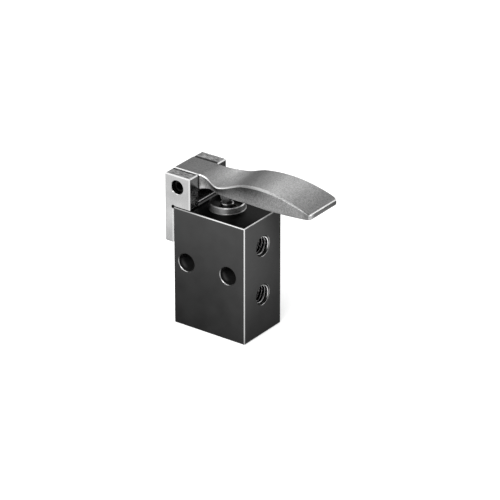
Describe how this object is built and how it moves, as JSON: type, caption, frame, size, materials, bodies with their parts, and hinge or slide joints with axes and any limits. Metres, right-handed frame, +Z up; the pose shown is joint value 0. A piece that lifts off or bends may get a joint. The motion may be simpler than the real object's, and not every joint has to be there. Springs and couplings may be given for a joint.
{
  "type": "finger lever valve",
  "caption": "Miniature finger lever valve: poppet valve block with threaded ports, through mounting holes and a spring-returned finger lever on a clevis bracket.",
  "frame": {"origin": "centre of the block's flat bottom face", "axes": "+X towards the ported face and the lever's tip, -Y towards the front face with the mounting holes, +Z up along the plunger"},
  "size_m": [0.037, 0.0136, 0.0376],
  "materials": {
    "body_black": "black anodised, satin",
    "bracket_metal": "bare, fine brushed",
    "lever_metal": "cast, vibratory satin",
    "pin_steel": "black oxide",
    "screw_steel": "plain",
    "bushing_dark": "dark anodised, turned",
    "plunger_steel": "turned",
    "spring_steel": "drawn wire",
    "brass": "turned",
    "seal_rubber": "moulded"
  },
  "bodies": {
    "valve": {"valve_body": "body_black", "lever_bracket": "bracket_metal", "bracket_screws": "screw_steel", "pivot_pin": "pin_steel", "stem_bushing": "bushing_dark", "bushing_o_ring": "seal_rubber", "plunger_spring": "spring_steel", "spring_washer": "brass", "stem_o_ring": "seal_rubber", "seal_retainer": "brass", "spacer_sleeve": "brass", "valve_seat": "brass", "seat_o_ring": "seal_rubber", "poppet_spring": "spring_steel", "bottom_plug": "brass", "plug_o_ring": "seal_rubber"},
    "lever": {"finger_lever": "lever_metal"},
    "plunger": {"plunger": "plunger_steel"},
    "poppet": {"poppet": "brass", "poppet_seal": "seal_rubber"}
  },
  "joints": [
    {"name": "lever_pivot", "type": "hinge", "parent": "valve", "child": "lever", "pos_m": [-0.00841, 0, 0.03285], "axis": [0, 1, 0], "range_deg": [0, 7.9], "stiffness_Nm_per_rad": 0.0876, "springref_deg": -6.3},
    {"name": "plunger_slide", "type": "slide", "parent": "valve", "child": "plunger", "axis": [0, 0, -1], "range_m": [0, 0.0012], "deforming": ["plunger_spring"]},
    {"name": "poppet_slide", "type": "slide", "parent": "valve", "child": "poppet", "axis": [0, 0, -1], "range_m": [0, 0.00084], "deforming": ["poppet_spring"]}
  ],
  "couplings": [
    {"joint": "plunger_slide", "follows": "lever_pivot", "m_per_rad": 0.00861},
    {"joint": "poppet_slide", "follows": "lever_pivot", "m_per_rad": 0.0059552}
  ]
}
